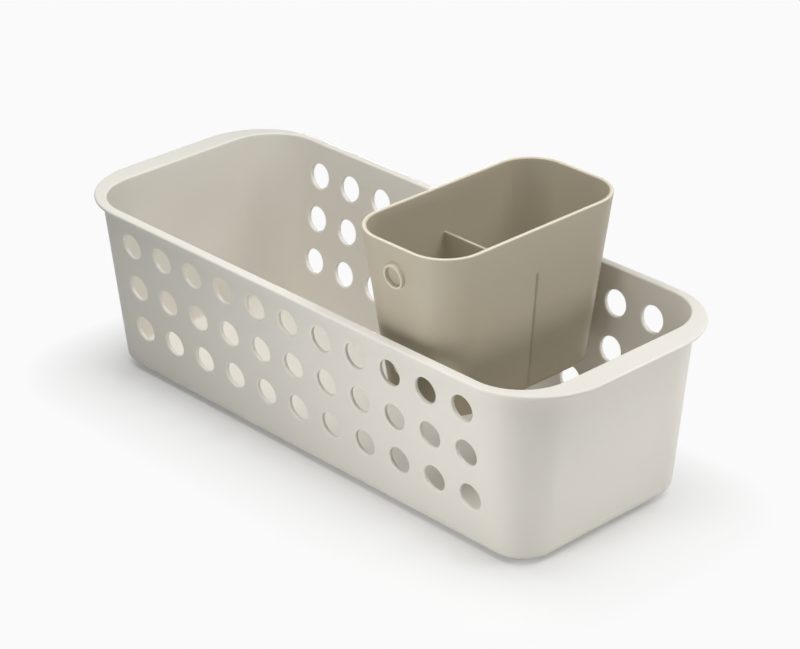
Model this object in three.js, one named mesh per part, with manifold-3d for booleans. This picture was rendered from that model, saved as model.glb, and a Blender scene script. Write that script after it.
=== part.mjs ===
// Bathroom storage basket: a long tapered tray with perforated long walls and a turned-out lip,
// and a divided cup that stands across it and clicks into the perforations with ring pegs.
// Millimetres, +Z up, X along the basket, -Y its front. The origin is on the ground under the middle.
import * as THREE from 'three';
import { mergeVertices } from 'three/addons/utils/BufferGeometryUtils.js';
import Module from 'manifold-3d';

const wasm = await Module();
wasm.setup();

// Basket body, with heights counted from its underside
const BASE_LENGTH = 302.9;
const BASE_WIDTH = 113.4;
const BASE_CORNER_RADIUS = 17.8;
const BASKET_HEIGHT = 95.1;
const END_WALL_DRAFT = THREE.MathUtils.degToRad(5.3);
const LONG_WALL_DRAFT = THREE.MathUtils.degToRad(6.6);
const TOP_CORNER_RADIUS = 30.3;
const WALL_THICKNESS = 2.4;
const FLOOR_THICKNESS = 2;
const BASE_EDGE_RADIUS = 5.5;
const FLOOR_EDGE_RADIUS = 3;

// Lip round the basket's mouth, wide at the ends and narrow along the long walls
const LIP_LENGTH = 342;
const LIP_WIDTH = 140.6;
const LIP_CORNER_RADIUS = 41.4;
const LIP_THICKNESS = 1.8;
const LIP_COVE_RADIUS = 1.4;
const MOUTH_EDGE_RADIUS = 0.8;

// Perforations, the same on both long walls
const HOLE_DIAMETER = 13.5;
const HOLE_COLUMNS = 11;
const HOLE_ROWS = 3;
const COLUMN_PITCH = 24;
const ROW_PITCH = 24.4;
const MIDDLE_ROW_HEIGHT = 52.6;
const HOLE_SIDES = 16;

// Soft feet, each plugged into a shallow round recess
const FOOT_RADIUS = 7;
const FOOT_STAND = 1.2;
const FOOT_RECESS_DEPTH = 0.8;
const FOOT_EDGE = 0.4;
const FOOT_FROM_END = 28;
const FOOT_FROM_SIDE = 24;

// Divided cup. Its broad faces follow the slope of the basket's long walls.
const CUP_HEIGHT = 88;
const CUP_LENGTH = 68;
const CUP_END_DRAFT = THREE.MathUtils.degToRad(5);
const CUP_RIM_CORNER_RADIUS = 21.4;
const CUP_BASE_CORNER_RADIUS = 19.9;
const CUP_WALL = 2.1;
const CUP_FLOOR = 2;
const CUP_EDGE_RADIUS = 2.5;
const CUP_RIM_EDGE = 0.5;
const CUP_BELOW_RIM = 2.4;
const CUP_COLUMN = 3;
const CUP_ROWS_RAISED = 2;
const DIVIDER_THICKNESS = 1.6;
const DIVIDER_BELOW_CUP_RIM = 22.8;

// Ring pegs on both broad faces of the cup
const PEG_RADIUS = 6.15;
const PEG_BORE_RADIUS = 5.15;
const PEG_LENGTH = 2.4;
const PEG_ROOT = 0.9;
const PEG_TO_WALL = 0.3;
const PEG_SIDES = 20;

// Gap kept between pieces that touch
const TOUCHING_GAP = 0.3;
const CORNER_STEPS = 6;
const EDGE_STEPS = 3;
const FOOT_SIDES = 24;
const CENTRE = new THREE.Vector2(0, 0);

// A section is a rounded rectangle seen from above: its length along X, width along Y and corner radius.
function inset(section, distance) {
  return {
    length: section.length - 2 * distance,
    width: section.width - 2 * distance,
    radius: section.radius - distance,
  };
}

function sectionPoints({ length, width, radius }) {
  const points = [];
  const cornerX = length / 2 - radius;
  const cornerY = width / 2 - radius;
  const corners = [[1, 1], [-1, 1], [-1, -1], [1, -1]];
  corners.forEach(([sideX, sideY], quarter) => {
    for (let step = 0; step <= CORNER_STEPS; step += 1) {
      const angle = (quarter + step / CORNER_STEPS) * Math.PI / 2;
      const x = sideX * cornerX + radius * Math.cos(angle);
      const y = sideY * cornerY + radius * Math.sin(angle);
      points.push(new THREE.Vector2(x, y));
    }
  });
  return points;
}

// Levels of a rounded bottom edge, from the flat face at the given height up to the wall.
function edgeLevels(wall, radius, height) {
  const levels = [];
  for (let step = 0; step <= EDGE_STEPS; step += 1) {
    const angle = step / EDGE_STEPS * Math.PI / 2;
    const level = height + radius * (1 - Math.cos(angle));
    levels.push([inset(wall(level), radius * (1 - Math.sin(angle))), level]);
  }
  return levels;
}

// Skins a stack of [section, height] levels and closes its first and last level with a flat face.
function loft(levels) {
  const rings = levels.map(([section]) => sectionPoints(section));
  const count = rings[0].length;
  const positions = [];
  const indices = [];
  rings.forEach((ring, level) => {
    ring.forEach(({ x, y }) => positions.push(x, y, levels[level][1]));
  });
  const firstCentre = rings.length * count;
  const lastCentre = firstCentre + 1;
  positions.push(CENTRE.x, CENTRE.y, levels[0][1]);
  positions.push(CENTRE.x, CENTRE.y, levels.at(-1)[1]);
  for (let point = 0; point < count; point += 1) {
    const next = (point + 1) % count;
    const top = (rings.length - 1) * count;
    indices.push(firstCentre, next, point);
    indices.push(lastCentre, top + point, top + next);
    for (let level = 0; level < rings.length - 1; level += 1) {
      const low = level * count;
      const high = low + count;
      indices.push(low + point, low + next, high + next);
      indices.push(low + point, high + next, high + point);
    }
  }
  const geometry = new THREE.BufferGeometry();
  geometry.setAttribute('position', new THREE.Float32BufferAttribute(positions, 3));
  geometry.setIndex(indices);
  return geometry;
}

function toSolid(geometry) {
  const bare = geometry.clone();
  bare.deleteAttribute('normal');
  bare.deleteAttribute('uv');
  const merged = mergeVertices(bare);
  const mesh = new wasm.Mesh({
    numProp: 3,
    vertProperties: Float32Array.from(merged.attributes.position.array),
    triVerts: Uint32Array.from(merged.index.array),
  });
  return new wasm.Manifold(mesh);
}

function toGeometry(solid) {
  const { vertProperties, triVerts } = solid.getMesh();
  const geometry = new THREE.BufferGeometry();
  geometry.setAttribute('position', new THREE.BufferAttribute(vertProperties, 3));
  geometry.setIndex(new THREE.BufferAttribute(triVerts, 1));
  geometry.computeVertexNormals();
  return geometry;
}

// Basket sections
const endSlope = Math.tan(END_WALL_DRAFT);
const longSlope = Math.tan(LONG_WALL_DRAFT);

function basketOutside(height) {
  return {
    length: BASE_LENGTH + 2 * height * endSlope,
    width: BASE_WIDTH + 2 * height * longSlope,
    radius: THREE.MathUtils.lerp(BASE_CORNER_RADIUS, TOP_CORNER_RADIUS, height / BASKET_HEIGHT),
  };
}

function basketInside(height) {
  return inset(basketOutside(height), WALL_THICKNESS);
}

function rowHeight(row) {
  return MIDDLE_ROW_HEIGHT + (row - (HOLE_ROWS - 1) / 2) * ROW_PITCH;
}

function basketShell() {
  const lip = { length: LIP_LENGTH, width: LIP_WIDTH, radius: LIP_CORNER_RADIUS };
  const underLip = BASKET_HEIGHT - LIP_THICKNESS;
  const coveFoot = underLip - LIP_COVE_RADIUS;
  const lipEdge = LIP_THICKNESS / 2;
  return loft([
    ...edgeLevels(basketOutside, BASE_EDGE_RADIUS, 0),
    [basketOutside(coveFoot), coveFoot],
    [inset(basketOutside(underLip), -LIP_COVE_RADIUS), underLip],
    [inset(lip, lipEdge), underLip],
    [lip, underLip + lipEdge],
    [inset(lip, lipEdge), BASKET_HEIGHT],
    [inset(basketInside(BASKET_HEIGHT), -MOUTH_EDGE_RADIUS), BASKET_HEIGHT],
    [basketInside(BASKET_HEIGHT), BASKET_HEIGHT - MOUTH_EDGE_RADIUS],
    ...edgeLevels(basketInside, FLOOR_EDGE_RADIUS, FLOOR_THICKNESS).reverse(),
  ]);
}

function footPlaces() {
  const x = BASE_LENGTH / 2 - FOOT_FROM_END;
  const y = BASE_WIDTH / 2 - FOOT_FROM_SIDE;
  return [
    ['foot_front_left', -x, -y],
    ['foot_front_right', x, -y],
    ['foot_back_left', -x, y],
    ['foot_back_right', x, y],
  ];
}

function basketGeometry() {
  let solid = toSolid(basketShell());
  const drill = new THREE.CylinderGeometry(HOLE_DIAMETER / 2, HOLE_DIAMETER / 2, LIP_WIDTH, HOLE_SIDES);
  for (let row = 0; row < HOLE_ROWS; row += 1) {
    for (let column = 0; column < HOLE_COLUMNS; column += 1) {
      const x = (column - (HOLE_COLUMNS - 1) / 2) * COLUMN_PITCH;
      solid = solid.subtract(toSolid(drill.clone().translate(x, 0, rowHeight(row))));
    }
  }
  const recessRadius = FOOT_RADIUS + TOUCHING_GAP;
  const recess = new THREE.CylinderGeometry(recessRadius, recessRadius, 2 * FOOT_RECESS_DEPTH, FOOT_SIDES);
  recess.rotateX(Math.PI / 2);
  for (const [, x, y] of footPlaces()) {
    solid = solid.subtract(toSolid(recess.clone().translate(x, y, 0)));
  }
  return toGeometry(solid);
}

function footGeometry() {
  const top = FOOT_STAND + FOOT_RECESS_DEPTH - TOUCHING_GAP;
  const profile = [
    CENTRE,
    new THREE.Vector2(FOOT_RADIUS - FOOT_EDGE, 0),
    new THREE.Vector2(FOOT_RADIUS, FOOT_EDGE),
    new THREE.Vector2(FOOT_RADIUS, top),
    new THREE.Vector2(0, top),
  ];
  return toGeometry(toSolid(new THREE.LatheGeometry(profile, FOOT_SIDES).rotateX(Math.PI / 2)));
}

// Cup sections, with heights counted from the cup's underside
const cupSeat = BASKET_HEIGHT - CUP_BELOW_RIM - CUP_HEIGHT;
const cupSideGap = (PEG_LENGTH + PEG_TO_WALL) / Math.cos(LONG_WALL_DRAFT);

function cupOutside(height) {
  const lengthAtBase = CUP_LENGTH - 2 * CUP_HEIGHT * Math.tan(CUP_END_DRAFT);
  return {
    length: THREE.MathUtils.lerp(lengthAtBase, CUP_LENGTH, height / CUP_HEIGHT),
    width: basketInside(cupSeat + height).width - 2 * cupSideGap,
    radius: THREE.MathUtils.lerp(CUP_BASE_CORNER_RADIUS, CUP_RIM_CORNER_RADIUS, height / CUP_HEIGHT),
  };
}

function cupInside(height) {
  return inset(cupOutside(height), CUP_WALL);
}

function cupShell() {
  return loft([
    ...edgeLevels(cupOutside, CUP_EDGE_RADIUS, 0),
    [cupOutside(CUP_HEIGHT - CUP_RIM_EDGE), CUP_HEIGHT - CUP_RIM_EDGE],
    [inset(cupOutside(CUP_HEIGHT), CUP_RIM_EDGE), CUP_HEIGHT],
    [inset(cupInside(CUP_HEIGHT), -CUP_RIM_EDGE), CUP_HEIGHT],
    [cupInside(CUP_HEIGHT - CUP_RIM_EDGE), CUP_HEIGHT - CUP_RIM_EDGE],
    ...edgeLevels(cupInside, CUP_EDGE_RADIUS, CUP_FLOOR).reverse(),
  ]);
}

// An upright plate across the middle of the cup, let into its walls and floor.
function dividerPlate() {
  const rootHeight = CUP_FLOOR / 2;
  const topHeight = CUP_HEIGHT - DIVIDER_BELOW_CUP_RIM;
  const rootHalf = cupOutside(rootHeight).length / 2 - CUP_WALL / 2 - CUP_EDGE_RADIUS / 2;
  const topHalf = cupOutside(topHeight).length / 2 - CUP_WALL / 2;
  const shoulderHeight = CUP_FLOOR + CUP_EDGE_RADIUS;
  const shoulderHalf = cupOutside(shoulderHeight).length / 2 - CUP_WALL / 2;
  const outline = new THREE.Shape();
  outline.moveTo(-rootHalf, rootHeight);
  outline.lineTo(rootHalf, rootHeight);
  outline.lineTo(shoulderHalf, shoulderHeight);
  outline.lineTo(topHalf, topHeight);
  outline.lineTo(-topHalf, topHeight);
  outline.lineTo(-shoulderHalf, shoulderHeight);
  const plate = new THREE.ExtrudeGeometry(outline, { depth: DIVIDER_THICKNESS, bevelEnabled: false });
  return plate.rotateX(Math.PI / 2).translate(0, DIVIDER_THICKNESS / 2, 0);
}

// A short tube standing square on a broad face, at the given height. Side -1 is the front face.
function pegRing(height, side) {
  const profile = [
    new THREE.Vector2(PEG_BORE_RADIUS, -PEG_ROOT),
    new THREE.Vector2(PEG_RADIUS, -PEG_ROOT),
    new THREE.Vector2(PEG_RADIUS, PEG_LENGTH),
    new THREE.Vector2(PEG_BORE_RADIUS, PEG_LENGTH),
    new THREE.Vector2(PEG_BORE_RADIUS, -PEG_ROOT),
  ];
  const ring = new THREE.LatheGeometry(profile, PEG_SIDES);
  ring.rotateX(-LONG_WALL_DRAFT);
  ring.translate(0, cupOutside(height).width / 2, height);
  return side < 0 ? ring.rotateZ(Math.PI) : ring;
}

function cupGeometry() {
  let solid = toSolid(cupShell()).add(toSolid(dividerPlate()));
  for (const row of [0, HOLE_ROWS - 1]) {
    for (const side of [-1, 1]) {
      solid = solid.add(toSolid(pegRing(rowHeight(row) - cupSeat, side)));
    }
  }
  return toGeometry(solid);
}

function namedMesh(name, geometry, material) {
  const mesh = new THREE.Mesh(geometry, material);
  mesh.name = name;
  return mesh;
}

const basketPlastic = new THREE.MeshStandardMaterial({ color: '#d6d1c7', roughness: 0.45, metalness: 0 });
const cupPlastic = new THREE.MeshStandardMaterial({ color: '#b6ad98', roughness: 0.5, metalness: 0 });
const footRubber = new THREE.MeshStandardMaterial({ color: '#c4c0b6', roughness: 0.8, metalness: 0 });

const object = new THREE.Group();

const basket = namedMesh('basket', basketGeometry(), basketPlastic);
basket.position.z = FOOT_STAND;
object.add(basket);

for (const [name, x, y] of footPlaces()) {
  const foot = namedMesh(name, footGeometry(), footRubber);
  foot.position.set(x, y, 0);
  object.add(foot);
}

// The cup is shown lifted off its seat, over one column of perforations.
const cup = namedMesh('divided_cup', cupGeometry(), cupPlastic);
cup.position.set(CUP_COLUMN * COLUMN_PITCH, 0, FOOT_STAND + cupSeat + CUP_ROWS_RAISED * ROW_PITCH);
object.add(cup);

export default object;
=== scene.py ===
# %% [markdown]
# # A perforated basket with a lift-out cup
# The real object is two plastic mouldings: a long tapered basket with rows of round holes in its long
# walls, and a smaller divided cup that clicks into those holes with hollow pegs. Four soft feet hold it
# off the shelf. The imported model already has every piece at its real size, so this script only makes
# finer skins for the same pieces and gives them their finish. Everything is in metres, with Z up.

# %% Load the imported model
import math
from typing import NamedTuple

import bpy
from mathutils import Matrix, Vector


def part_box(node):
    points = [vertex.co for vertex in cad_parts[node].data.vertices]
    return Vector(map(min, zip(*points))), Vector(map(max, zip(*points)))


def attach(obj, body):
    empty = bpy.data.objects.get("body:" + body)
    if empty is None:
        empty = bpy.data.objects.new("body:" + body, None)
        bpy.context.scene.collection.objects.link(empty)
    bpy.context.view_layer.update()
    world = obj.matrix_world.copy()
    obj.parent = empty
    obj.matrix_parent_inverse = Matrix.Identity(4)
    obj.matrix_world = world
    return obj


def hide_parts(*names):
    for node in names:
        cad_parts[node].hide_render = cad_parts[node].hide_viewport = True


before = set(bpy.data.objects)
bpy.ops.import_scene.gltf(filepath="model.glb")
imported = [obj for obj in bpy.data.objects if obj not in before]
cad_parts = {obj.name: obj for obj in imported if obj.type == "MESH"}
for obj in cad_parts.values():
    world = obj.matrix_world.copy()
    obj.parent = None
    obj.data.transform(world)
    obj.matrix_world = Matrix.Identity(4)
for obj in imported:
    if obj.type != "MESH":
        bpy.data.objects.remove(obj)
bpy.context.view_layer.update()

print("packed nodes:", sorted(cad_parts))

# %% [markdown]
# ## The camera first
# A product photograph is taken from far away with a long lens, so the basket's long edges stay almost
# parallel. The camera is described the way a photographer would: the point it looks at, how far away it
# stands, how far round and how high up it is, and a slight roll. Its three axes then come from those
# angles, which is plainer to read than a typed-in rotation.

# %% Camera
CAMERA_TARGET = Vector((-0.0156, 0.0237, 0.0403))
CAMERA_DISTANCE = 1.4
CAMERA_AZIMUTH = math.radians(46.893)
CAMERA_ELEVATION = math.radians(26.828)
CAMERA_ROLL = math.radians(-0.577)
CAMERA_LENS = 122.99


def photographers_camera():
    level = math.cos(CAMERA_ELEVATION)
    back = Vector((
        math.sin(CAMERA_AZIMUTH) * level,
        -math.cos(CAMERA_AZIMUTH) * level,
        math.sin(CAMERA_ELEVATION),
    ))
    right = Vector((math.cos(CAMERA_AZIMUTH), math.sin(CAMERA_AZIMUTH), 0))
    turned = Matrix((right, back.cross(right), back)).transposed().to_4x4()
    roll = Matrix.Rotation(CAMERA_ROLL, 4, "Z")
    place = Matrix.Translation(CAMERA_TARGET + CAMERA_DISTANCE * back)
    data = bpy.data.cameras.new("photo_camera")
    data.lens = CAMERA_LENS
    camera = bpy.data.objects.new("photo_camera", data)
    camera.matrix_world = place @ turned @ roll
    bpy.context.scene.collection.objects.link(camera)
    bpy.context.scene.camera = camera
    return camera


camera = photographers_camera()
print("camera at", [round(x, 3) for x in camera.matrix_world.translation])

# %% [markdown]
# ## Slices
# Both mouldings are tapered trays, so every horizontal slice through them is a rectangle with round
# corners, and three numbers describe it. A wall is a stack of slices with a skin pulled over them, which
# is called a loft. Subdivision surfaces could round the edges too, but they pull flat walls in, while a
# stack of slices puts each small radius exactly where it belongs. Marks can be set on the straight sides,
# so that a window or a groove has an edge of its own in every slice.

# %% Rounded rectangles
MM = 0.001
CORNER_STEPS = 18
END_HOLD = 2 * MM


class Section(NamedTuple):
    length: float
    width: float
    radius: float


def inset(section, distance):
    return Section(section.length - 2 * distance, section.width - 2 * distance, section.radius - distance)


def mix(first, second, share):
    return first + (second - first) * share


def between(first, second, share):
    return Section(*(mix(a, b, share) for a, b in zip(first, second)))


def quarter_turn(steps):
    return [step / steps * math.pi / 2 for step in range(steps + 1)]


def outline(section, side_mark, end_marks=()):
    """Points anticlockwise round a section, with a pair of marks on each long side and marks on the ends."""
    corner_x = section.length / 2 - section.radius
    corner_y = section.width / 2 - section.radius
    side_x = min(side_mark, corner_x)
    end_y = corner_y - END_HOLD
    points = []
    for quarter, (sign_x, sign_y) in enumerate(((1, 1), (-1, 1), (-1, -1), (1, -1))):
        for turn in quarter_turn(CORNER_STEPS):
            angle = quarter * math.pi / 2 + turn
            points.append((
                sign_x * corner_x + section.radius * math.cos(angle),
                sign_y * corner_y + section.radius * math.sin(angle),
            ))
        if sign_x == sign_y:
            points += [(sign_y * x, sign_y * section.width / 2) for x in (side_x, -side_x)]
        else:
            points += [(sign_x * section.length / 2, sign_x * y) for y in (-end_y, *end_marks, end_y)]
    return points


print("points in a slice:", len(outline(Section(300 * MM, 110 * MM, 20 * MM), side_mark=100 * MM)))

# %% [markdown]
# A skin joins each slice to the next with four-sided faces and closes the first and last slice with one
# flat face each. Each slice also carries a number from 0 to 1 that says how strongly the material paints
# a highlight there. The material reads it later to lighten the rounded edges, a painted highlight where
# light would catch them. Faces can be left out to make a window, which a panel of holes or pegs then fills.

# %% Lofted skin
class Slice(NamedTuple):
    section: Section
    height: float
    # how strongly a painted highlight lightens this slice, from 0 to 1
    rubbed: float = 0.0


class Window(NamedTuple):
    half_length: float
    bottom: float
    top: float


def mesh_with_edge_highlight(name, points, faces, rubbed):
    mesh = bpy.data.meshes.new(name)
    mesh.from_pydata(points, [], faces)
    mesh.attributes.new("rubbed", "FLOAT", "POINT").data.foreach_set("value", rubbed)
    return mesh


def in_window(window, low, high, start, end):
    """True for a face that lies between the window's two heights and between its two marks."""
    level = {low.height, high.height} == {window.bottom, window.top}
    across = math.isclose(abs(start[0]), window.half_length) and math.isclose(start[0], -end[0])
    return level and across


def loft(name, slices, rings, underside, windows):
    """A mesh over one ring of points for each slice, open at the windows in each long wall."""
    count = len(rings[0])
    points = [(x, y, underside + part.height) for part, ring in zip(slices, rings) for x, y in ring]
    faces = [tuple(reversed(range(count)))]
    for level in range(len(rings) - 1):
        low = level * count
        high = low + count
        for column in range(count):
            after = (column + 1) % count
            around = slices[level], slices[level + 1], rings[level][column], rings[level][after]
            if not any(in_window(window, *around) for window in windows):
                faces.append((low + column, low + after, high + after, high + column))
    faces.append(tuple(range(len(points) - count, len(points))))
    return mesh_with_edge_highlight(name, points, faces, [part.rubbed for part in slices for _ in range(count)])


print("a slice holds", Slice._fields, "and a window", Window._fields)

# %% [markdown]
# ## The basket's shell
# The basket leans out all the way round, by a little more on the long walls than at the ends, and its
# corners open up towards the mouth. The lip is a second, larger outline: it stands out about a centimetre
# at the ends and only a few millimetres along the sides. Going up the outside, over the lip and down the
# inside in one list of slices makes one closed moulding with a real wall thickness. Next to each small
# radius a slice holds the flat wall flat, so that light doesn't creep across it.

# %% Basket sizes
basket_low, basket_high = (Vector(corner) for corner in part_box("basket"))
BASKET_UNDERSIDE = basket_low.z
BASKET_HEIGHT = basket_high.z - basket_low.z
LIP_RADIUS = 41.4 * MM
LIP = Section(basket_high.x - basket_low.x, basket_high.y - basket_low.y, LIP_RADIUS)
LIP_THICKNESS = 1.8 * MM
LIP_COVE = 1.4 * MM
LIP_CROWN = 0.3 * MM
# painted highlight on the lip's rounded edge, crowned top and mouth edge
LIP_HIGHLIGHT = 0.15
BASE = Section(length=302.9 * MM, width=113.4 * MM, radius=17.8 * MM)
TOP_CORNER_RADIUS = 30.3 * MM
END_SLOPE = math.tan(math.radians(5.3))
LONG_SLOPE = math.tan(math.radians(6.6))
WALL = 2.4 * MM
BASKET_FLOOR = 2 * MM
BASE_EDGE = 5.5 * MM
# painted highlight along the rounded bottom edge
BASE_HIGHLIGHT = 0.2
INSIDE_EDGE = 3 * MM
MOUTH_EDGE = 0.8 * MM
HOLD = 1.5 * MM
EDGE_STEPS = 6
BASKET_WINDOW = Window(half_length=129 * MM, bottom=15.7 * MM, top=86.1 * MM)


def basket_outside(height):
    corner = mix(BASE.radius, TOP_CORNER_RADIUS, height / BASKET_HEIGHT)
    return Section(BASE.length + 2 * height * END_SLOPE, BASE.width + 2 * height * LONG_SLOPE, corner)


def basket_inside(height):
    return inset(basket_outside(height), WALL)


print("mouth in mm:", [round(side / MM, 1) for side in basket_inside(BASKET_HEIGHT)])


# %% Basket slices
def outer_wall(outside, edge, heights):
    """Slices of an outer wall, from its flat underside round the bottom edge and up through some heights."""
    slices = [Slice(inset(outside(0), edge + HOLD), 0)]
    for turn in quarter_turn(EDGE_STEPS):
        height = edge * (1 - math.cos(turn))
        section = inset(outside(height), edge * (1 - math.sin(turn)))
        # the rounded bottom edge gets a painted highlight, strongest halfway round
        slices.append(Slice(section, height, BASE_HIGHLIGHT * math.sin(2 * turn)))
    return slices + [Slice(outside(height), height) for height in (edge + HOLD, *heights)]


def inner_wall(inside, floor, edge, heights):
    """Slices of an inner wall, down through some heights and round into the floor."""
    slices = [Slice(inside(height), height) for height in (*heights, floor + edge + HOLD)]
    for turn in quarter_turn(EDGE_STEPS):
        height = floor + edge * (1 - math.sin(turn))
        slices.append(Slice(inset(inside(height), edge * (1 - math.cos(turn))), height))
    return slices + [Slice(inset(inside(floor), edge + HOLD), floor)]


def lip():
    """Slices that turn out of the wall, round the lip's edge and over its crowned top into the mouth."""
    half = LIP_THICKNESS / 2
    under = BASKET_HEIGHT - LIP_CROWN - LIP_THICKNESS
    below = under - LIP_COVE - HOLD
    slices = [Slice(basket_outside(below), below)]
    for turn in quarter_turn(EDGE_STEPS):
        height = under - LIP_COVE * (1 - math.sin(turn))
        section = inset(basket_outside(height), -LIP_COVE * (1 - math.cos(turn)))
        slices.append(Slice(section, height))
    for turn in quarter_turn(2 * EDGE_STEPS):
        angle = 2 * turn - math.pi / 2
        section = inset(LIP, half * (1 - math.cos(angle)))
        slices.append(Slice(section, under + half * (1 + math.sin(angle)), LIP_HIGHLIGHT * math.sin(turn)))
    mouth = inset(basket_inside(BASKET_HEIGHT), -MOUTH_EDGE)
    for step in range(1, EDGE_STEPS):
        share = step / EDGE_STEPS
        height = BASKET_HEIGHT - LIP_CROWN * (1 - share) ** 2
        slices.append(Slice(between(inset(LIP, half), mouth, share), height, LIP_HIGHLIGHT))
    for turn in quarter_turn(EDGE_STEPS):
        height = BASKET_HEIGHT - MOUTH_EDGE * (1 - math.cos(turn))
        section = inset(basket_inside(height), -MOUTH_EDGE * (1 - math.sin(turn)))
        slices.append(Slice(section, height, LIP_HIGHLIGHT * math.cos(turn)))
    return slices


window_heights = (BASKET_WINDOW.bottom, BASKET_WINDOW.top)
under_lip = BASKET_HEIGHT - MOUTH_EDGE - HOLD
basket_slices = outer_wall(basket_outside, BASE_EDGE, window_heights) + lip()
basket_slices += inner_wall(basket_inside, BASKET_FLOOR, INSIDE_EDGE, (under_lip, *reversed(window_heights)))
basket_rings = [outline(part.section, BASKET_WINDOW.half_length) for part in basket_slices]
basket_shell = loft("basket_shell", basket_slices, basket_rings, BASKET_UNDERSIDE, [BASKET_WINDOW])
print("basket shell:", len(basket_slices), "slices,", len(basket_shell.polygons), "faces")

# %% [markdown]
# ## One hole, one peg
# A moulded hole has no sharp edge: the steel pin that makes it leaves a small radius on both faces of the
# wall. A hollow peg is the same idea turned outwards, a ring with a rounded tip. Both are turned shapes,
# so one profile spun about an axis makes each. A Boolean cut would give the hole too, but with a hard
# edge and long splinter faces that catch the light. The profile starts at a flat rim, which the panel
# around it shares point for point.

# %% Turned shapes
TURN_STEPS = 40


class Turned(NamedTuple):
    radius: float
    height: float
    rubbed: float = 0.0


def arc(centre, radius, start, end, rubbed=0.0, steps=4):
    """Profile points on an arc about a centre given as (radius, height), between two angles in degrees."""
    angles = [math.radians(mix(start, end, step / steps)) for step in range(steps + 1)]
    return [
        Turned(centre[0] + radius * math.cos(angle), centre[1] + radius * math.sin(angle), rubbed)
        for angle in angles
    ]


def ring_points(level, count):
    """Numbers of the points in one ring of a turned shape, given as many times as the turn has steps."""
    first = sum(count[:level])
    return [first + step % count[level] for step in range(TURN_STEPS + 1)]


def spin(name, profile):
    """Spins a profile about Z, with the plastic on its left. A point on the axis stays one point."""
    count = [TURN_STEPS if point.radius > 0 else 1 for point in profile]
    points = []
    rubbed = []
    for point, steps in zip(profile, count):
        for step in range(steps):
            angle = 2 * math.pi * step / TURN_STEPS
            points.append((point.radius * math.cos(angle), point.radius * math.sin(angle), point.height))
            rubbed.append(point.rubbed)
    faces = []
    for level in range(len(profile) - 1):
        here = ring_points(level, count)
        there = ring_points(level + 1, count)
        for step in range(TURN_STEPS):
            corners = (here[step], here[step + 1], there[step + 1], there[step])
            faces.append(tuple(dict.fromkeys(corners)))
    return mesh_with_edge_highlight(name, points, faces, rubbed)


print("points on an arc:", len(arc((5 * MM, 0), MM, 0, 90)), "and round a ring:", TURN_STEPS)

# %% Hole with softened edges
HOLE_RADIUS = 6.75 * MM
HOLE_EDGE = 0.8 * MM
HOLE_FLAT = 0.6 * MM
HOLE_RIM = HOLE_RADIUS + HOLE_EDGE + HOLE_FLAT
# painted highlights on the hole's two rounded edges, stronger on the inner one
OUTER_EDGE_HIGHLIGHT = 0.25
INNER_EDGE_HIGHLIGHT = 0.6


def wall_hole():
    edge_centre = HOLE_RADIUS + HOLE_EDGE
    profile = [Turned(HOLE_RIM, 0)]
    profile += arc((edge_centre, -HOLE_EDGE), HOLE_EDGE, 90, 180, OUTER_EDGE_HIGHLIGHT)
    profile += arc((edge_centre, HOLE_EDGE - WALL), HOLE_EDGE, 180, 270, INNER_EDGE_HIGHLIGHT)
    profile.append(Turned(HOLE_RIM, -WALL))
    return spin("wall_hole", profile)


hole_mesh = wall_hole()
print("one hole:", len(hole_mesh.polygons), "faces")

# %% Hollow peg
PEG_RADIUS = 6.15 * MM
PEG_BORE = 5.15 * MM
PEG_LENGTH = 2.4 * MM
PEG_ROOT = 0.3 * MM
PEG_TIP = 0.3 * MM
# painted highlight on the peg's rounded tip
TIP_HIGHLIGHT = 0.75
PEG_FLAT = 0.1 * MM
PEG_RIM = PEG_RADIUS + PEG_ROOT + PEG_FLAT


def ring_peg():
    profile = [Turned(PEG_RIM, 0)]
    profile += arc((PEG_RADIUS + PEG_ROOT, PEG_ROOT), PEG_ROOT, 270, 180)
    profile += arc((PEG_RADIUS - PEG_TIP, PEG_LENGTH - PEG_TIP), PEG_TIP, 0, 90, TIP_HIGHLIGHT)
    profile += arc((PEG_BORE + PEG_TIP, PEG_LENGTH - PEG_TIP), PEG_TIP, 90, 180, TIP_HIGHLIGHT)
    profile += arc((PEG_BORE - PEG_ROOT, PEG_ROOT), PEG_ROOT, 0, -90)
    profile.append(Turned(0, 0))
    return spin("ring_peg", profile)


peg_mesh = ring_peg()
print("one peg:", len(peg_mesh.polygons), "faces")

# %% [markdown]
# ## Working with node trees
# A node tree written in Python is a list of nodes and the wires between them. Setting each one up takes
# several lines, so a small helper makes a node, fills its inputs and hands back one of its outputs. An
# input gets either a plain value or another node's output, which becomes a wire. The same helper serves
# Geometry Nodes and materials.

# %% Node helpers
def put(tree, kind, inputs=None, output=0, **settings):
    """Adds a node and returns one of its outputs. A list of sockets is wired into one joining input."""
    node = tree.nodes.new(kind)
    for name, value in settings.items():
        setattr(node, name, value)
    for key, value in (inputs or {}).items():
        socket = node.inputs[key]
        if isinstance(value, list):
            for source in value:
                tree.links.new(source, socket)
        elif isinstance(value, bpy.types.NodeSocket):
            tree.links.new(value, socket)
        else:
            socket.default_value = value
    return node.outputs[output] if node.outputs else node


def calculate(tree, operation, first, second):
    return put(tree, "ShaderNodeMath", {0: first, 1: second}, operation=operation)


def new_tree(name, kind, inputs, outputs):
    """An empty node group with named sockets, each given as a name and its socket type."""
    tree = bpy.data.node_groups.new(name, kind)
    for label, socket in inputs.items():
        tree.interface.new_socket(label, in_out="INPUT", socket_type="NodeSocket" + socket)
    for label, socket in outputs.items():
        tree.interface.new_socket(label, in_out="OUTPUT", socket_type="NodeSocket" + socket)
    return tree


def input_sockets(tree):
    node = tree.nodes.new("NodeGroupInput")
    return {socket.name: socket for socket in node.outputs if socket.name}


print("node helpers:", [helper.__name__ for helper in (put, calculate, new_tree, input_sockets)])

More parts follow.
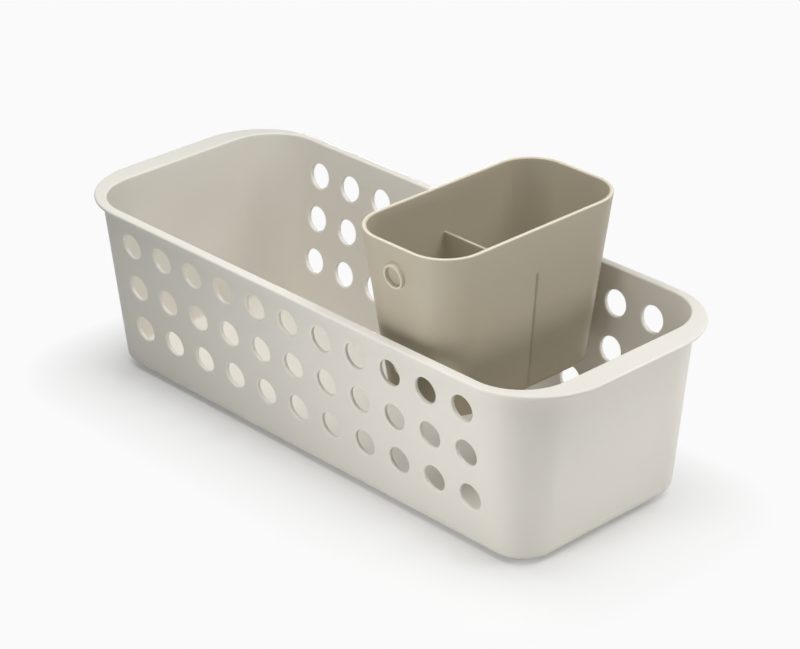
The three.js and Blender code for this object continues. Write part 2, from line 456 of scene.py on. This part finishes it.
# %% [markdown]
# ## A panel of repeated round features
# The holes stand in a straight grid, and so do the pegs that fit them, so one Geometry Nodes tree makes
# both. It works on a flat drawing first: a grid of points, a copy of the hole or peg on each, and a plate
# filled in between the rectangle's outline and the rims. Then it leans the drawing against the wall, turns
# a copy of it half round for the far wall, and sews both to the open shell by merging points that
# coincide. Sizes are inputs, so another pitch or another row is one number.

# %% Panel inputs
PANEL_INPUTS = {
    "Shell": "Geometry",
    "Feature": "Object",
    "Columns": "Int",
    "Rows": "Int",
    "Column Pitch": "Float",
    "Row Pitch": "Float",
    "Middle Row": "Float",
    "Rim Radius": "Float",
    "Window Length": "Float",
    "Window Bottom": "Float",
    "Window Top": "Float",
    "Wall Offset": "Float",
    "Wall Slope": "Float",
    "Axis Slope": "Float",
    "Underside": "Float",
    "Through": "Bool",
    "Thickness": "Float",
    "Material": "Material",
}
print("panel inputs:", list(PANEL_INPUTS))


# %% Plate with round gaps
def span(tree, count, pitch):
    """The length of a row of features, from its first centre to its last."""
    return calculate(tree, "MULTIPLY", calculate(tree, "SUBTRACT", count, 1), pitch)


def feature_centres(tree, size):
    """A grid with one point for each feature."""
    grid = put(tree, "GeometryNodeMeshGrid", {
        "Size X": span(tree, size["Columns"], size["Column Pitch"]),
        "Size Y": span(tree, size["Rows"], size["Row Pitch"]),
        "Vertices X": size["Columns"],
        "Vertices Y": size["Rows"],
    })
    middle = put(tree, "ShaderNodeCombineXYZ", {"Y": size["Middle Row"]})
    return put(tree, "GeometryNodeTransform", {"Geometry": grid, "Translation": middle})


def window_edge(tree, size):
    top = size["Window Top"]
    bottom = size["Window Bottom"]
    edge = put(tree, "GeometryNodeCurvePrimitiveQuadrilateral", {
        "Width": size["Window Length"], "Height": calculate(tree, "SUBTRACT", top, bottom),
    })
    halfway = calculate(tree, "MULTIPLY", calculate(tree, "ADD", top, bottom), 0.5)
    middle = put(tree, "ShaderNodeCombineXYZ", {"Y": halfway})
    return put(tree, "GeometryNodeTransform", {"Geometry": edge, "Translation": middle})


def gapped_plate(tree, size, centres):
    """A flat plate that fills the window and leaves a round gap at each centre."""
    circle = put(tree, "GeometryNodeCurvePrimitiveCircle", {
        "Resolution": TURN_STEPS, "Radius": size["Rim Radius"],
    })
    rims = put(tree, "GeometryNodeInstanceOnPoints", {"Points": centres, "Instance": circle})
    curves = put(tree, "GeometryNodeJoinGeometry", {"Geometry": [window_edge(tree, size), rims]})
    curves = put(tree, "GeometryNodeRealizeInstances", {"Geometry": curves})
    return put(tree, "GeometryNodeFillCurve", {"Curve": curves}, mode="TRIANGLES")


print("plate helpers:", [helper.__name__ for helper in (feature_centres, window_edge, gapped_plate)])

# %% Panel tree
SEW_DISTANCE = 0.004 * MM


def flat_drawing(tree, size):
    """The features and the plates between them, drawn flat with heights along Y."""
    centres = feature_centres(tree, size)
    feature = put(tree, "GeometryNodeObjectInfo", {"Object": size["Feature"]}, output="Geometry")
    features = put(tree, "GeometryNodeInstanceOnPoints", {"Points": centres, "Instance": feature})
    plate = gapped_plate(tree, size, centres)
    depth = put(tree, "ShaderNodeCombineXYZ", {"Z": calculate(tree, "MULTIPLY", size["Thickness"], -1)})
    far = put(tree, "GeometryNodeTransform", {"Geometry": plate, "Translation": depth})
    far = put(tree, "GeometryNodeFlipFaces", {"Mesh": far})
    far = put(tree, "GeometryNodeSwitch", {"Switch": size["Through"], "True": far}, input_type="GEOMETRY")
    drawing = put(tree, "GeometryNodeJoinGeometry", {"Geometry": [features, plate, far]})
    return put(tree, "GeometryNodeRealizeInstances", {"Geometry": drawing})


def lean_on_wall(tree, size, drawing):
    """Moves each point (x, height, depth) of the drawing onto the front wall."""
    place = put(tree, "ShaderNodeSeparateXYZ", {0: put(tree, "GeometryNodeInputPosition")}).node.outputs
    lean = calculate(tree, "MULTIPLY", place["Y"], size["Wall Slope"])
    out = calculate(tree, "ADD", calculate(tree, "ADD", size["Wall Offset"], lean), place["Z"])
    drop = calculate(tree, "MULTIPLY", place["Z"], size["Axis Slope"])
    up = calculate(tree, "ADD", calculate(tree, "SUBTRACT", place["Y"], drop), size["Underside"])
    position = put(tree, "ShaderNodeCombineXYZ", {
        "X": place["X"], "Y": calculate(tree, "MULTIPLY", out, -1), "Z": up,
    })
    return put(tree, "GeometryNodeSetPosition", {"Geometry": drawing, "Position": position})


def panel_tree():
    tree = new_tree("sewn_in_panels", "GeometryNodeTree", PANEL_INPUTS, {"Geometry": "Geometry"})
    size = input_sockets(tree)
    front = lean_on_wall(tree, size, flat_drawing(tree, size))
    back = put(tree, "GeometryNodeTransform", {"Geometry": front, "Rotation": (0, 0, math.pi)})
    sewn = put(tree, "GeometryNodeJoinGeometry", {"Geometry": [size["Shell"], front, back]})
    sewn = put(tree, "GeometryNodeRealizeInstances", {"Geometry": sewn})
    sewn = put(tree, "GeometryNodeMergeByDistance", {"Geometry": sewn, "Distance": SEW_DISTANCE})
    sewn = put(tree, "GeometryNodeSetShadeSmooth", {0: sewn})
    sewn = put(tree, "GeometryNodeSetMaterial", {"Geometry": sewn, "Material": size["Material"]})
    put(tree, "NodeGroupOutput", {"Geometry": sewn})
    return tree


sewn_in_panels = panel_tree()
print("panel tree:", len(sewn_in_panels.nodes), "nodes,", len(PANEL_INPUTS), "named inputs")

# %% [markdown]
# A tree does nothing until a Nodes modifier on an object runs it. The modifier's inputs are set by each
# socket's identifier, because two sockets could share a name. Afterwards the evaluated result is copied
# to a plain mesh and the modifier is taken away, so that the piece is ordinary geometry from then on.

# %% Run a tree on a piece
pattern_pieces = []


def new_piece(name, mesh):
    piece = bpy.data.objects.new(name, mesh)
    bpy.context.scene.collection.objects.link(piece)
    return piece


def pattern_piece(name, mesh):
    """An object that only a tree or a modifier reads. It is removed once the pieces are made."""
    piece = new_piece(name, mesh)
    pattern_pieces.append(piece)
    return piece


def freeze(piece):
    """Makes the result of the piece's modifiers its own plain mesh."""
    evaluated = piece.evaluated_get(bpy.context.evaluated_depsgraph_get())
    mesh = bpy.data.meshes.new_from_object(evaluated)
    mesh.name = piece.name
    piece.modifiers.clear()
    piece.data = mesh


def run_tree(piece, tree, values):
    modifier = piece.modifiers.new(tree.name, "NODES")
    modifier.node_group = tree
    for item in tree.interface.items_tree:
        if item.in_out == "INPUT" and item.name in values:
            modifier[item.identifier] = values[item.name]
    freeze(piece)


print("panel sockets:", {item.name: item.identifier for item in sewn_in_panels.interface.items_tree})

# %% [markdown]
# ## Moulded plastic
# Both mouldings have the same fine spark-eroded texture: the mould is etched to a satin grain, so the
# plastic has a broad soft sheen and no mirror highlight. Close up there is a faint orange-peel ripple
# where the plastic shrank as it cooled. The rounded edges get a painted highlight, a lighter colour where
# light would catch them. One shader node group makes these three effects from Object coordinates and the
# edge highlight attribute, and each material feeds its own colours and amounts into it. The group hands
# out colour, roughness and a height for the bump, and the Principled shader itself stays in each material.

# %% Moulded grain group
GRAIN_INPUTS = {
    "Colour": "Color",
    "Edge Colour": "Color",
    "Edge Amount": "Float",
    "Mottle": "Float",
    "Roughness": "Float",
    "Roughness Spread": "Float",
}
GRAIN_OUTPUTS = {"Colour": "Color", "Roughness": "Float", "Height": "Float"}
CLOUD_SCALE = 14.0
CLOUD_DETAIL = 3.0
RIPPLE_SCALE = 240.0
GRAIN_SCALE = 2100.0
FINE_DETAIL = 2.0
NOISE_MIDDLE = 0.5
RIPPLE_HEIGHT = 0.05 * MM
GRAIN_HEIGHT = 0.012 * MM


def moulded_grain():
    tree = new_tree("moulded_grain", "ShaderNodeTree", GRAIN_INPUTS, GRAIN_OUTPUTS)
    given = input_sockets(tree)
    place = put(tree, "ShaderNodeTexCoord", output="Object")

    def noise(scale, detail):
        return put(tree, "ShaderNodeTexNoise", {"Vector": place, "Scale": scale, "Detail": detail})

    def swing(value, amount):
        return calculate(tree, "MULTIPLY", calculate(tree, "SUBTRACT", value, NOISE_MIDDLE), amount)

    clouds = noise(CLOUD_SCALE, CLOUD_DETAIL)
    ripple = noise(RIPPLE_SCALE, FINE_DETAIL)
    grain = noise(GRAIN_SCALE, FINE_DETAIL)
    mottled = put(tree, "ShaderNodeHueSaturation", {
        "Color": given["Colour"], "Value": calculate(tree, "ADD", swing(clouds, given["Mottle"]), 1.0),
    })
    # a painted highlight: the colour turns towards the highlight colour where the edge number is high
    rubbed = put(tree, "ShaderNodeAttribute", output="Fac", attribute_name="rubbed")
    highlighted = calculate(tree, "MULTIPLY", rubbed, given["Edge Amount"])
    colour = put(tree, "ShaderNodeMix", {
        "Factor": highlighted, "A": mottled, "B": given["Edge Colour"],
    }, output="Result", data_type="RGBA")

    spread = swing(ripple, given["Roughness Spread"])
    roughness = calculate(tree, "ADD", given["Roughness"], spread)
    height = calculate(
        tree, "ADD",
        calculate(tree, "MULTIPLY", ripple, RIPPLE_HEIGHT),
        calculate(tree, "MULTIPLY", grain, GRAIN_HEIGHT),
    )
    put(tree, "NodeGroupOutput", {"Colour": colour, "Roughness": roughness, "Height": height})
    return tree


grain_group = moulded_grain()
print("grain group outputs:", list(GRAIN_OUTPUTS))

# %% Plastic materials
PLASTIC_IOR = 1.49
HEIGHT_IN_METRES = 1.0


def moulded_plastic(name, colour, highlight_colour, highlight_amount, mottle, roughness, spread, bump):
    material = bpy.data.materials.new(name)
    material.use_nodes = True
    tree = material.node_tree
    shader = tree.nodes["Principled BSDF"]
    group = put(tree, "ShaderNodeGroup", {
        "Colour": (*colour, 1),
        "Edge Colour": (*highlight_colour, 1),
        "Edge Amount": highlight_amount,
        "Mottle": mottle,
        "Roughness": roughness,
        "Roughness Spread": spread,
    }, node_tree=grain_group).node.outputs
    normal = put(tree, "ShaderNodeBump", {
        "Height": group["Height"], "Distance": HEIGHT_IN_METRES, "Strength": bump,
    })
    tree.links.new(group["Colour"], shader.inputs["Base Color"])
    tree.links.new(group["Roughness"], shader.inputs["Roughness"])
    tree.links.new(normal, shader.inputs["Normal"])
    shader.inputs["IOR"].default_value = PLASTIC_IOR
    return material


# each material's second colour and amount paint a highlight on its rounded edges
basket_plastic = moulded_plastic(
    "basket_plastic", colour=(0.669, 0.636, 0.569), highlight_colour=(0.85, 0.83, 0.785), highlight_amount=0.5,
    mottle=0.05, roughness=0.46, spread=0.1, bump=0.6,
)
cup_plastic = moulded_plastic(
    "cup_plastic", colour=(0.468, 0.417, 0.312), highlight_colour=(0.74, 0.68, 0.55), highlight_amount=0.8,
    mottle=0.08, roughness=0.45, spread=0.12, bump=0.6,
)
foot_rubber = moulded_plastic(
    "foot_rubber", colour=(0.52, 0.50, 0.45), highlight_colour=(0.58, 0.56, 0.52), highlight_amount=0.6,
    mottle=0.15, roughness=0.8, spread=0.15, bump=1.0,
)
print("materials:", [material.name for material in (basket_plastic, cup_plastic, foot_rubber)])

# %% [markdown]
# ## The basket's perforated walls
# Each long wall has three rows of eleven holes at the same pitch, so the cup can be clicked in anywhere
# along it. The panel tree fills the two windows that the shell left open, on the outside and the inside
# of the wall at once, because the hole's profile runs right through it.

# %% Basket
HOLE_COLUMNS = 11
HOLE_ROWS = 3
HOLE_PITCH = 24 * MM
ROW_PITCH = 24.4 * MM
MIDDLE_ROW = 52.6 * MM

basket = new_piece("basket_skin", basket_shell)
run_tree(basket, sewn_in_panels, {
    "Feature": pattern_piece("wall_hole", hole_mesh),
    "Columns": HOLE_COLUMNS,
    "Rows": HOLE_ROWS,
    "Column Pitch": HOLE_PITCH,
    "Row Pitch": ROW_PITCH,
    "Middle Row": MIDDLE_ROW,
    "Rim Radius": HOLE_RIM,
    "Window Length": 2 * BASKET_WINDOW.half_length,
    "Window Bottom": BASKET_WINDOW.bottom,
    "Window Top": BASKET_WINDOW.top,
    "Wall Offset": BASE.width / 2,
    "Wall Slope": LONG_SLOPE,
    "Axis Slope": 0.0,
    "Underside": BASKET_UNDERSIDE,
    "Through": True,
    "Thickness": WALL,
    "Material": basket_plastic,
})


def open_edges(mesh):
    """Edges that don't have exactly two faces. A closed moulding has none."""
    uses = {}
    for polygon in mesh.polygons:
        for key in polygon.edge_keys:
            uses[key] = uses.get(key, 0) + 1
    return sum(1 for count in uses.values() if count != 2)


print("basket:", len(basket.data.polygons), "faces,", open_edges(basket.data), "open edges")

# %% [markdown]
# ## The cup
# The cup is the same kind of moulding, narrower, with its broad faces parallel to the basket's long walls
# so that it can slide between them. Down the middle of each narrow face runs a fine witness line, where
# the divider behind it drew the plastic in as it cooled. It is a shallow groove, so its marks are pushed
# inwards below the height of the divider's top.

# %% Cup sizes
cup_low, cup_high = (Vector(corner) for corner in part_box("divided_cup"))
CUP_UNDERSIDE = cup_low.z
CUP_HEIGHT = cup_high.z - cup_low.z
CUP_X = (cup_low.x + cup_high.x) / 2
CUP_LENGTH = cup_high.x - cup_low.x
CUP_ROWS_RAISED = 2
CUP_SEAT = CUP_UNDERSIDE - BASKET_UNDERSIDE - CUP_ROWS_RAISED * ROW_PITCH
PEG_TO_WALL = 0.3 * MM
CUP_SIDE_GAP = (PEG_LENGTH + PEG_TO_WALL) * math.hypot(1, LONG_SLOPE)
CUP_WIDTH = basket_inside(CUP_SEAT + CUP_HEIGHT).width - 2 * CUP_SIDE_GAP
CUP_RIM_RADIUS = 21.4 * MM
CUP_BASE_RADIUS = 19.9 * MM
CUP_END_SLOPE = math.tan(math.radians(5))
CUP_WALL = 2.1 * MM
CUP_FLOOR = 2 * MM
CUP_EDGE = 2.5 * MM
RIM_EDGE = 0.6 * MM
# painted highlight on the inner edge of the cup's rim
INNER_RIM_HIGHLIGHT = 0.3
DIVIDER_DROP = 22.8 * MM
DIVIDER_TOP = CUP_HEIGHT - DIVIDER_DROP
PEG_PANEL_HALF = 7.2 * MM
PEG_PANELS = [
    Window(PEG_PANEL_HALF, bottom=14 * MM, top=33 * MM),
    Window(PEG_PANEL_HALF, bottom=DIVIDER_TOP, top=80 * MM),
]
WITNESS_DROP = 1.5 * MM
WITNESS_TOP = DIVIDER_TOP - WITNESS_DROP
WITNESS_DEPTH = 0.7 * MM
WITNESS_HALF = 1.3 * MM
WITNESS_STEPS = 5
WITNESS_MARKS = [step / WITNESS_STEPS * WITNESS_HALF for step in range(-WITNESS_STEPS, WITNESS_STEPS + 1)]
WITNESS_RUN_OUT = 0.7 * MM


def cup_outside(height):
    below = 2 * (CUP_HEIGHT - height)
    corner = mix(CUP_BASE_RADIUS, CUP_RIM_RADIUS, height / CUP_HEIGHT)
    return Section(CUP_LENGTH - below * CUP_END_SLOPE, CUP_WIDTH - below * LONG_SLOPE, corner)


def cup_inside(height):
    return inset(cup_outside(height), CUP_WALL)


print("cup in mm: at the rim", [round(side / MM, 1) for side in cup_outside(CUP_HEIGHT)],
      "at the base", [round(side / MM, 1) for side in cup_outside(0)])


# %% Cup slices
def cup_rim():
    """Slices over the rim, up round its outer edge and down round its inner one."""
    slices = []
    for turn in quarter_turn(EDGE_STEPS):
        height = CUP_HEIGHT - RIM_EDGE * (1 - math.sin(turn))
        section = inset(cup_outside(height), RIM_EDGE * (1 - math.cos(turn)))
        # the rim's outer edge gets the full painted highlight
        slices.append(Slice(section, height, math.sin(turn)))
    for turn in quarter_turn(EDGE_STEPS):
        height = CUP_HEIGHT - RIM_EDGE * (1 - math.cos(turn))
        section = inset(cup_inside(height), -RIM_EDGE * (1 - math.sin(turn)))
        slices.append(Slice(section, height, INNER_RIM_HIGHLIGHT * math.cos(turn)))
    return slices


def witness_depth(part, outer, y):
    """How far the witness line presses a point of the outer end wall inwards."""
    if not outer or abs(y) > WITNESS_HALF:
        return 0
    run_in = min(1, max(0, (part.height - CUP_EDGE) / HOLD))
    run_out = min(1, max(0, (WITNESS_TOP - part.height) / WITNESS_RUN_OUT))
    return WITNESS_DEPTH * math.cos(y / WITNESS_HALF * math.pi / 2) ** 2 * run_in * run_out


def cup_ring(part, outer):
    ring = []
    for x, y in outline(part.section, PEG_PANEL_HALF, WITNESS_MARKS):
        on_end = math.isclose(abs(x), part.section.length / 2)
        depth = witness_depth(part, outer and on_end, y)
        ring.append((x - math.copysign(depth, x), y))
    return ring


below_rim = CUP_HEIGHT - RIM_EDGE - HOLD
panel_heights = [height for panel in PEG_PANELS for height in (panel.bottom, panel.top)]
cup_heights = sorted([*panel_heights, WITNESS_TOP - WITNESS_RUN_OUT, WITNESS_TOP, below_rim])
cup_outer = outer_wall(cup_outside, CUP_EDGE, cup_heights)
cup_slices = cup_outer + cup_rim() + inner_wall(cup_inside, CUP_FLOOR, CUP_EDGE, [below_rim])
cup_rings = [cup_ring(part, part in cup_outer) for part in cup_slices]
cup_shell = loft("cup_shell", cup_slices, cup_rings, CUP_UNDERSIDE, PEG_PANELS)
print("cup shell:", len(cup_slices), "slices,", len(cup_shell.polygons), "faces")

# %% [markdown]
# The divider is one thin web across the cup, moulded with it. It is drawn as a section with a rounded top
# edge and pulled from wall to wall, with its ends and its foot buried halfway into the plastic around it.
# A Boolean union then makes one solid of the two. Here the hard line that a union leaves is right, since
# a thin web meets the wall in a plain corner.

# %% Divider
DIVIDER_TOP_THICKNESS = 1.6 * MM
DIVIDER_FOOT_THICKNESS = 2.0 * MM
DIVIDER_EDGE = 0.55 * MM


def divider_section():
    """Half the web's outline as (y, height, painted edge highlight), from its foot to the middle of its top
    edge.
    """
    half = DIVIDER_TOP_THICKNESS / 2
    points = [(DIVIDER_FOOT_THICKNESS / 2, CUP_FLOOR / 2, 0), (half, DIVIDER_TOP - DIVIDER_EDGE - HOLD, 0)]
    for turn in quarter_turn(EDGE_STEPS):
        y = half - DIVIDER_EDGE * (1 - math.cos(turn))
        # the web's rounded top edge gets a painted highlight
        points.append((y, DIVIDER_TOP - DIVIDER_EDGE * (1 - math.sin(turn)), math.sin(turn)))
    return points


def divider_web():
    right = divider_section()
    section = right + [(-y, height, rubbed) for y, height, rubbed in reversed(right)]
    count = len(section)
    points = []
    for side in (-1, 1):
        for y, height, _ in section:
            reach = cup_outside(height).length / 2 - CUP_WALL / 2
            points.append((side * reach, y, CUP_UNDERSIDE + height))
    faces = [tuple(range(count)), tuple(reversed(range(count, 2 * count)))]
    for here in range(count):
        after = (here + 1) % count
        faces.append((after, here, here + count, after + count))
    return mesh_with_edge_highlight("divider_web", points, faces, [rubbed for _, _, rubbed in section * 2])


divider_mesh = divider_web()
print("divider:", len(divider_mesh.polygons), "faces")

# %% [markdown]
# The pegs go on with the same panel tree that made the holes: one column, one row, and no plate on the
# inside. It runs twice, once for the lower pair of pegs and once for the upper pair, at the heights of
# the basket's bottom and top rows. The cup is made around X = 0 and moved to its place last, by moving
# its points, so that the object itself stays at the origin.

# %% Cup
LOWEST_ROW = MIDDLE_ROW - ROW_PITCH
PEG_HEIGHTS = [LOWEST_ROW - CUP_SEAT, LOWEST_ROW - CUP_SEAT + (HOLE_ROWS - 1) * ROW_PITCH]
CREASE = math.radians(40)

cup = new_piece("cup_skin", cup_shell)
ring_peg_pattern = pattern_piece("ring_peg", peg_mesh)
for peg_height, panel in zip(PEG_HEIGHTS, PEG_PANELS):
    run_tree(cup, sewn_in_panels, {
        "Feature": ring_peg_pattern,
        "Columns": 1,
        "Rows": 1,
        "Column Pitch": HOLE_PITCH,
        "Row Pitch": ROW_PITCH,
        "Middle Row": peg_height,
        "Rim Radius": PEG_RIM,
        "Window Length": 2 * panel.half_length,
        "Window Bottom": panel.bottom,
        "Window Top": panel.top,
        "Wall Offset": cup_outside(0).width / 2,
        "Wall Slope": LONG_SLOPE,
        "Axis Slope": LONG_SLOPE,
        "Underside": CUP_UNDERSIDE,
        "Through": False,
        "Thickness": CUP_WALL,
        "Material": cup_plastic,
    })
print("cup with pegs:", open_edges(cup.data), "open edges")

divider_mesh.materials.append(cup_plastic)
union = cup.modifiers.new("divider", "BOOLEAN")
union.operation = "UNION"
union.solver = "EXACT"
union.object = pattern_piece("divider_web", divider_mesh)
freeze(cup)
cup.data.polygons.foreach_set("use_smooth", [True] * len(cup.data.polygons))
cup.data.set_sharp_from_angle(angle=CREASE)
cup.data.transform(Matrix.Translation((CUP_X, 0, 0)))
print("cup:", len(cup.data.polygons), "faces,", open_edges(cup.data), "open edges")

# %% [markdown]
# ## The feet
# Four round soft feet sit in shallow recesses near the corners of the underside, so that the basket
# doesn't slide or scratch. Each is a low turned pad with a softened edge. A second small tree puts a copy
# on each point of a two by two grid.

# %% Feet
FOOT_RADIUS = 7 * MM
FOOT_EDGE = 0.4 * MM
foot_low, foot_high = (Vector(corner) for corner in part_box("foot_front_left"))
FOOT_X = abs(foot_low.x + foot_high.x) / 2
FOOT_Y = abs(foot_low.y + foot_high.y) / 2


def foot_pad():
    """The pad from the middle of the face that it stands on, round its edge, up and over its top."""
    profile = [Turned(0, 0), Turned(FOOT_RADIUS - 2 * FOOT_EDGE, 0)]
    # the pad's rounded edge gets the full painted highlight
    profile += arc((FOOT_RADIUS - FOOT_EDGE, FOOT_EDGE), FOOT_EDGE, -90, 0, rubbed=1)
    profile += [Turned(FOOT_RADIUS, BASKET_UNDERSIDE), Turned(0, BASKET_UNDERSIDE)]
    return spin("foot_pad", profile)


FEET_INPUTS = {
    "Geometry": "Geometry",
    "Foot": "Object",
    "Length": "Float",
    "Width": "Float",
    "Material": "Material",
}


def feet_tree():
    tree = new_tree("four_feet", "GeometryNodeTree", FEET_INPUTS, {"Geometry": "Geometry"})
    size = input_sockets(tree)
    corners = put(tree, "GeometryNodeMeshGrid", {
        "Size X": size["Length"], "Size Y": size["Width"], "Vertices X": 2, "Vertices Y": 2,
    })
    foot = put(tree, "GeometryNodeObjectInfo", {"Object": size["Foot"]}, output="Geometry")
    feet = put(tree, "GeometryNodeInstanceOnPoints", {"Points": corners, "Instance": foot})
    feet = put(tree, "GeometryNodeRealizeInstances", {"Geometry": feet})
    feet = put(tree, "GeometryNodeSetShadeSmooth", {0: feet})
    feet = put(tree, "GeometryNodeSetMaterial", {"Geometry": feet, "Material": size["Material"]})
    put(tree, "NodeGroupOutput", {"Geometry": feet})
    return tree


feet = new_piece("feet", bpy.data.meshes.new("feet"))
run_tree(feet, feet_tree(), {
    "Foot": pattern_piece("foot_pad", foot_pad()),
    "Length": 2 * FOOT_X,
    "Width": 2 * FOOT_Y,
    "Material": foot_rubber,
})
feet.data.set_sharp_from_angle(angle=CREASE)
print("feet:", len(feet.data.polygons), "faces,", open_edges(feet.data), "open edges")

# %% Clear the patterns away
for piece in pattern_pieces:
    bpy.data.objects.remove(piece)
print("patterns removed:", len(pattern_pieces))

# %% [markdown]
# ## Floor
# A catalogue photograph stands the object on a white sweep and is printed with a plain white background.
# The floor here is pale grey to the light, so that it bounces no more than paper would. For rays that come
# straight from the camera, or by way of a glossy or clear surface, it mixes in plain white: only a little of
# it close to the basket, where the soft shadow should stay, and all of it six centimetres farther out. The
# patch that stays shaded reaches out more to the front than to the back. That whitens the picture without
# putting any more light on the plastic.

# %% Floor
FLOOR_SIZE = 6.0
FLOOR_COLOUR = (0.755, 0.75, 0.73, 1)
FLOOR_ROUGHNESS = 0.9
BACKGROUND_WHITE = 0.957
NEAR_WHITE = 0.18
WHITE_REACH = 0.058
SHADE_MIDDLE = (0.011, -0.015, 0)
SHADE_HALF = (0.144, 0.045, 0)


def white_share(tree):
    """How much plain white a place shows: a little beside the basket, and all of it at the white reach."""
    place = put(tree, "ShaderNodeTexCoord", output="Object")
    beside = put(tree, "ShaderNodeVectorMath", {0: place, 1: SHADE_MIDDLE}, operation="SUBTRACT")
    beside = put(tree, "ShaderNodeVectorMath", {0: beside}, operation="ABSOLUTE")
    beside = put(tree, "ShaderNodeVectorMath", {0: beside, 1: SHADE_HALF}, operation="SUBTRACT")
    beside = put(tree, "ShaderNodeVectorMath", {0: beside, 1: (0, 0, 0)}, operation="MAXIMUM")
    away = put(tree, "ShaderNodeVectorMath", {0: beside}, output="Value", operation="LENGTH")
    return put(tree, "ShaderNodeMapRange", {
        "Value": away, "From Min": 0.0, "From Max": WHITE_REACH, "To Min": NEAR_WHITE, "To Max": 1.0,
    })


def sees_background(tree):
    """1 for rays from the camera, straight or by way of a glossy or clear surface, and 0 for all others."""
    rays = put(tree, "ShaderNodeLightPath").node.outputs
    passed_on = calculate(tree, "MAXIMUM", rays["Is Glossy Ray"], rays["Is Transmission Ray"])
    return calculate(tree, "MAXIMUM", rays["Is Camera Ray"], passed_on)


def floor_paper():
    material = bpy.data.materials.new("studio_floor")
    material.use_nodes = True
    tree = material.node_tree
    paper = tree.nodes["Principled BSDF"]
    paper.inputs["Base Color"].default_value = FLOOR_COLOUR
    paper.inputs["Roughness"].default_value = FLOOR_ROUGHNESS
    share = calculate(tree, "MULTIPLY", white_share(tree), sees_background(tree))
    white = put(tree, "ShaderNodeEmission", {"Strength": BACKGROUND_WHITE})
    shown = put(tree, "ShaderNodeMixShader", {"Fac": share, 1: paper.outputs["BSDF"], 2: white})
    tree.links.new(shown, tree.nodes["Material Output"].inputs["Surface"])
    return material


def studio_floor():
    half = FLOOR_SIZE / 2
    corners = [(-half, -half, 0), (half, -half, 0), (half, half, 0), (-half, half, 0)]
    mesh = bpy.data.meshes.new("studio_floor")
    mesh.from_pydata(corners, [], [(0, 1, 2, 3)])
    mesh.materials.append(floor_paper())
    return new_piece("studio_floor", mesh)


studio = studio_floor()
print("floor:", FLOOR_SIZE, "m square")

# %% [markdown]
# ## Light
# Three soft boxes hang over the basket: towards its front left, its front right and behind its right end.
# They light the lip and the basket's floor, and the long wall gets mostly what the pale floor sends back,
# which is why it darkens towards its far end. A low card in front of the near end brightens that part. A
# second card lights the short wall from behind, through a grid that narrows its beam, so the round corner
# between the two cards gets less of both. The last card stands behind the far corner, lower than the lip,
# where it hardly changes this picture but lights the back for other views. The strengths are kept at a
# plain level, so that a colour comes out about as it is written, and the lamps are a trace cooler than
# white, as daylight tubes are. The world only carries the floor's white on past its edge, for the same
# rays, so all that it adds to the plastic is a faint sheen.

# %% World and lamps
DAYLIGHT = (0.99, 1.0, 1.02)


def studio_world():
    """The floor's white past the floor's edge, for the same rays, and dark for all others."""
    world = bpy.data.worlds.new("studio_world")
    world.use_nodes = True
    tree = world.node_tree
    strength = calculate(tree, "MULTIPLY", sees_background(tree), BACKGROUND_WHITE)
    background = tree.nodes["Background"]
    background.inputs["Color"].default_value = (1, 1, 1, 1)
    tree.links.new(strength, background.inputs["Strength"])
    bpy.context.scene.world = world


def soft_box(name, place, aim, side, watts, beam=math.pi):
    """A square lamp that shines from a place to its aim, unseen by the camera."""
    data = bpy.data.lights.new(name, "AREA")
    data.size = side
    data.energy = watts
    data.spread = beam
    data.color = DAYLIGHT
    lamp = bpy.data.objects.new(name, data)
    lamp.location = place
    lamp.rotation_euler = (Vector(aim) - Vector(place)).to_track_quat("-Z", "Y").to_euler()
    lamp.visible_camera = False
    bpy.context.scene.collection.objects.link(lamp)


studio_world()
soft_box("front_left_box", place=(-0.15, -0.1, 0.5), aim=(-0.15, -0.1, 0), side=0.25, watts=1.306)
soft_box("front_right_box", place=(0.2, -0.15, 0.6), aim=(0.07, 0, 0.1), side=0.25, watts=1.112)
soft_box("back_right_box", place=(0.3, 0.3, 0.6), aim=(0.1, 0.05, 0), side=0.4, watts=2.337)
soft_box("front_card", place=(0.12, -0.3, 0.1), aim=(0.12, 0, 0.05), side=0.15, watts=0.373)
soft_box("end_card", place=(0.45, 0.2, 0.12), aim=(0.16, -0.04, 0.05), side=0.12, watts=0.098,
         beam=math.radians(60))
soft_box("back_card", place=(-0.4, 0.38, 0.045), aim=(-0.06, 0.03, 0.045), side=0.08, watts=0.3,
         beam=math.radians(90))
bpy.context.scene.view_settings.view_transform = "Standard"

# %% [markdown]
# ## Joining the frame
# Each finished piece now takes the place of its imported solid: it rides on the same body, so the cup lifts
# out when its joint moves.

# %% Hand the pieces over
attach(basket, "basket")
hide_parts("basket")

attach(cup, "cup")
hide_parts("divided_cup")

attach(feet, "basket")
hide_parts("foot_front_left", "foot_front_right", "foot_back_left", "foot_back_right")
